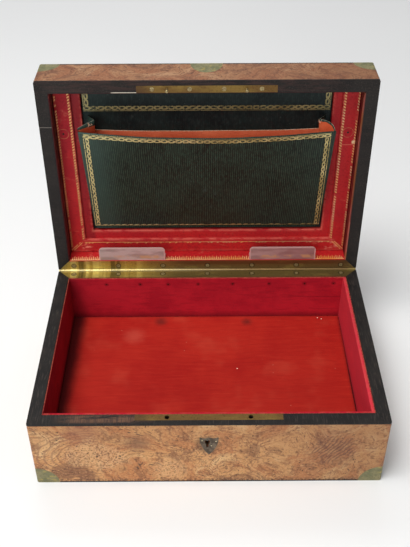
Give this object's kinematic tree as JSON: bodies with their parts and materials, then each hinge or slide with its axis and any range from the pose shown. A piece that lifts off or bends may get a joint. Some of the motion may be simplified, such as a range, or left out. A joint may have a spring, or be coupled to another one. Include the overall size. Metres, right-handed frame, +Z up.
{
  "type": "fitted dressing box",
  "caption": "Veneered, brass-bound dressing box: hinged lid with leather liner and opening letter pocket, lined base, link lock with sliding bolt.",
  "frame": {"origin": "centre of the base's underside", "axes": "+X along the front to the right, +Y to the back, +Z up"},
  "size_m": [0.32, 0.2609, 0.2971],
  "materials": {
    "burl_veneer": "polished burl walnut",
    "carcase_wood": "plain sawn",
    "ebony_wood": "dark polished",
    "brass": "aged satin",
    "patinated_brass": "green patina",
    "steel": "dull",
    "crimson_cloth": "cloth over board",
    "red_floor": "watered cloth over board",
    "red_leather": "gold-tooled",
    "green_leather": "gold-tooled, grained",
    "orange_lining": "matte",
    "nickel_silver": "polished"
  },
  "bodies": {
    "base": {"base_front_wall": "carcase_wood", "base_back_wall": "carcase_wood", "base_left_wall": "carcase_wood", "base_right_wall": "carcase_wood", "base_bottom_board": "carcase_wood", "base_front_veneer": "burl_veneer", "base_back_veneer": "burl_veneer", "base_left_veneer": "burl_veneer", "base_right_veneer": "burl_veneer", "base_rim_banding": "ebony_wood", "base_stringing": "ebony_wood", "base_front_lining": "crimson_cloth", "base_back_lining": "crimson_cloth", "base_left_lining": "crimson_cloth", "base_right_lining": "crimson_cloth", "false_floor": "red_floor", "floor_bearers": "carcase_wood", "base_hinge_leaf": "brass", "hinge_pin": "steel", "base_hinge_screws": "brass", "lock_case": "brass", "lock_plate": "brass", "drill_pin": "steel", "escutcheon": "patinated_brass", "escutcheon_pins": "brass", "base_front_mounts": "patinated_brass", "base_back_mounts": "patinated_brass"},
    "bolt": {"lock_bolt": "brass"},
    "lid": {"lid_front_wall": "carcase_wood", "lid_back_wall": "carcase_wood", "lid_left_wall": "carcase_wood", "lid_right_wall": "carcase_wood", "lid_top_board": "carcase_wood", "lid_front_veneer": "burl_veneer", "lid_back_veneer": "burl_veneer", "lid_side_veneers": "burl_veneer", "lid_top_veneer": "burl_veneer", "lid_rim_banding": "ebony_wood", "lid_stringing": "ebony_wood", "lid_leather_lining": "red_leather", "liner_battens": "carcase_wood", "liner_frame": "red_leather", "liner_step": "red_leather", "lid_back_panel": "green_leather", "tooled_panel": "green_leather", "mirror_clips": "nickel_silver", "clip_screws": "nickel_silver", "lid_hinge_leaf": "brass", "lid_hinge_screws": "brass", "link_plate": "brass", "link_studs": "brass", "link_screws": "brass", "lid_front_mounts": "patinated_brass", "lid_back_mounts": "patinated_brass", "lid_centre_mount": "patinated_brass", "pocket_back_leaf": "orange_lining", "pocket_gussets": "green_leather", "pocket_foot_strip": "green_leather"},
    "pocket": {"pocket_front": "green_leather"}
  },
  "joints": [
    {"name": "lid_hinge", "type": "hinge", "parent": "base", "child": "lid", "pos_m": [0, 0.1075, 0.07915], "axis": [1, 0, 0], "range_deg": [0, 91]},
    {"name": "lock_bolt_slide", "type": "slide", "parent": "base", "child": "bolt", "axis": [1, 0, 0], "range_m": [0, 0.004]},
    {"name": "pocket_front_hinge", "type": "hinge", "parent": "lid", "child": "pocket", "pos_m": [0, 0.12863, 0.12379], "axis": [1, 0, 0], "range_deg": [-13, 0], "deforming": ["pocket_gussets"]}
  ]
}
